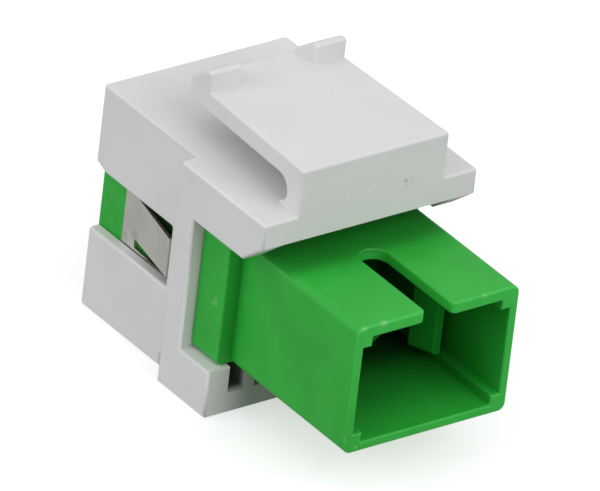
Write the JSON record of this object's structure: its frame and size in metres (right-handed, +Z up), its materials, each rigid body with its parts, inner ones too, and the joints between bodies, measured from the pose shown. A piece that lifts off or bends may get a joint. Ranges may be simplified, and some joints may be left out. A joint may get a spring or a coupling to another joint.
{
  "type": "sc fibre adapter",
  "caption": "Simplex fibre adapter: a green sleeve box with a plug port at each end, held by a steel spring clip in a white keystone housing with a press-down latch.",
  "frame": {"origin": "on the housing's flat base, below the middle of the adapter's flange", "axes": "+Y runs along the plugs towards the rear mouth, the front mouth faces -Y, +X runs across the mouth and +Z is up through the latch"},
  "size_m": [0.0168, 0.0276, 0.0211],
  "materials": {
    "white_housing": "satin moulded",
    "green_shell": "satin moulded",
    "green_insert": "satin moulded",
    "clip_steel": "rolled sheet",
    "white_ceramic": "polished"
  },
  "bodies": {
    "housing": {"keystone_housing": "white_housing", "front_shell": "green_shell", "rear_shell": "green_shell", "mounting_clip": "clip_steel", "front_hook_insert": "green_insert", "rear_hook_insert": "green_insert", "split_sleeve": "white_ceramic"},
    "latch": {"latch_arm": "white_housing"}
  },
  "joints": [
    {"name": "latch_press", "type": "hinge", "parent": "housing", "child": "latch", "pos_m": [0, -0.00447, 0.01904], "axis": [-1, 0, 0], "range_deg": [0, 9], "stiffness_Nm_per_rad": 0.02}
  ]
}
